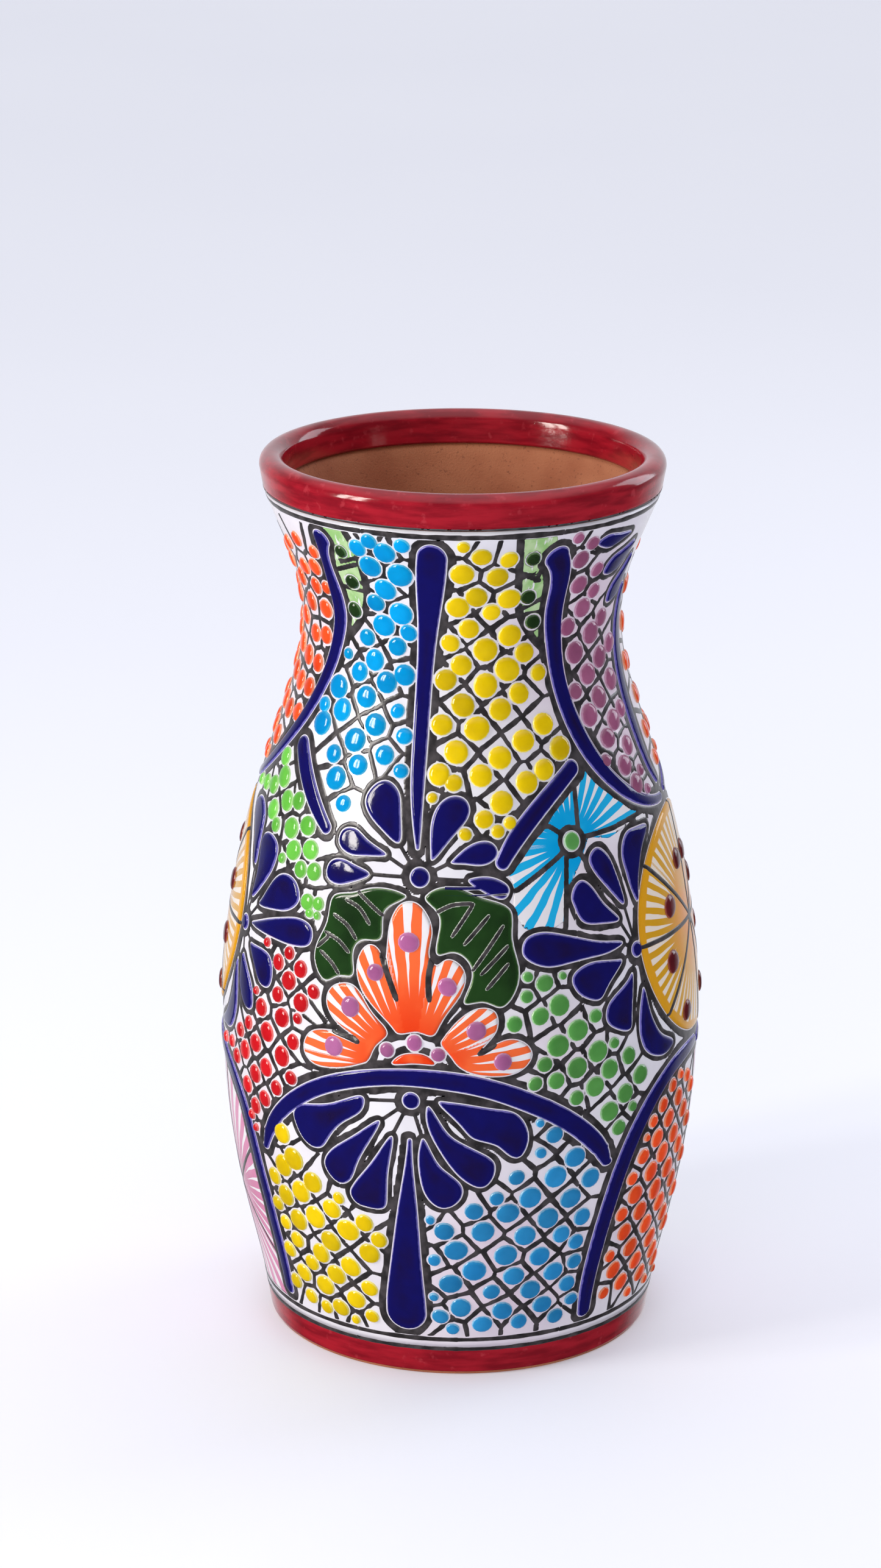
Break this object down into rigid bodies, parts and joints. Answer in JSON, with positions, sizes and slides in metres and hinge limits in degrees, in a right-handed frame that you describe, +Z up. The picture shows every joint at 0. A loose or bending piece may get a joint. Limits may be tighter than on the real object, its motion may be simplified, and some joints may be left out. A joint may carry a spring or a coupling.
{
  "type": "talavera pottery vase",
  "caption": "Tall flared pottery vase with a thrown clay body, white glaze, crimson rim and foot, and raised cobalt, bead and flower glaze work.",
  "frame": {"origin": "centre of the foot, on the surface that the vase stands on", "axes": "+Z up along the axis of the turned body; the painted front faces -Y, and +X is to the right of a person facing the front"},
  "size_m": [0.1672, 0.1654, 0.305],
  "materials": {
    "terracotta": "matt fired clay",
    "white_glaze": "gloss",
    "crimson_glaze": "gloss",
    "cobalt_glaze": "gloss",
    "leaf_green_glaze": "gloss",
    "coral_glaze": "gloss",
    "gold_glaze": "gloss",
    "brown_red_glaze": "gloss",
    "turquoise_glaze": "gloss",
    "yellow_glaze": "gloss",
    "mauve_glaze": "gloss",
    "orange_glaze": "gloss",
    "light_green_glaze": "gloss",
    "red_glaze": "gloss",
    "mid_green_glaze": "gloss",
    "blue_glaze": "gloss",
    "dark_green_glaze": "gloss",
    "charcoal_line": "satin painted line"
  },
  "bodies": {
    "root": {"clay_belly_wall": "terracotta", "clay_neck_wall": "terracotta", "clay_floor": "terracotta", "foot_ring": "terracotta", "rim_roll": "terracotta", "white_glaze_coat": "white_glaze", "rim_band_glaze": "crimson_glaze", "foot_band_glaze": "crimson_glaze", "upper_stems": "cobalt_glaze", "slanted_bars": "cobalt_glaze", "shoulder_ribs": "cobalt_glaze", "side_ribs": "cobalt_glaze", "arch_bands": "cobalt_glaze", "lower_stems": "cobalt_glaze", "lower_ribs": "cobalt_glaze", "upper_fan_petals": "cobalt_glaze", "lower_fan_petals": "cobalt_glaze", "side_fan_petals": "cobalt_glaze", "neck_fan_petals": "cobalt_glaze", "fan_hubs": "cobalt_glaze", "leaves": "leaf_green_glaze", "coral_flowers": "coral_glaze", "flower_hearts": "coral_glaze", "side_medallions": "gold_glaze", "turquoise_flower_eyes": "mid_green_glaze", "turquoise_beads": "turquoise_glaze", "yellow_beads": "yellow_glaze", "mauve_beads": "mauve_glaze", "orange_neck_beads": "orange_glaze", "light_green_beads": "light_green_glaze", "red_beads": "red_glaze", "mid_green_beads": "mid_green_glaze", "lower_yellow_beads": "yellow_glaze", "lower_blue_beads": "blue_glaze", "lower_orange_beads": "orange_glaze", "dark_green_beads": "dark_green_glaze", "coral_lobe_beads": "mauve_glaze", "flower_heart_beads": "mauve_glaze", "medallion_beads": "brown_red_glaze"}
  },
  "joints": []
}
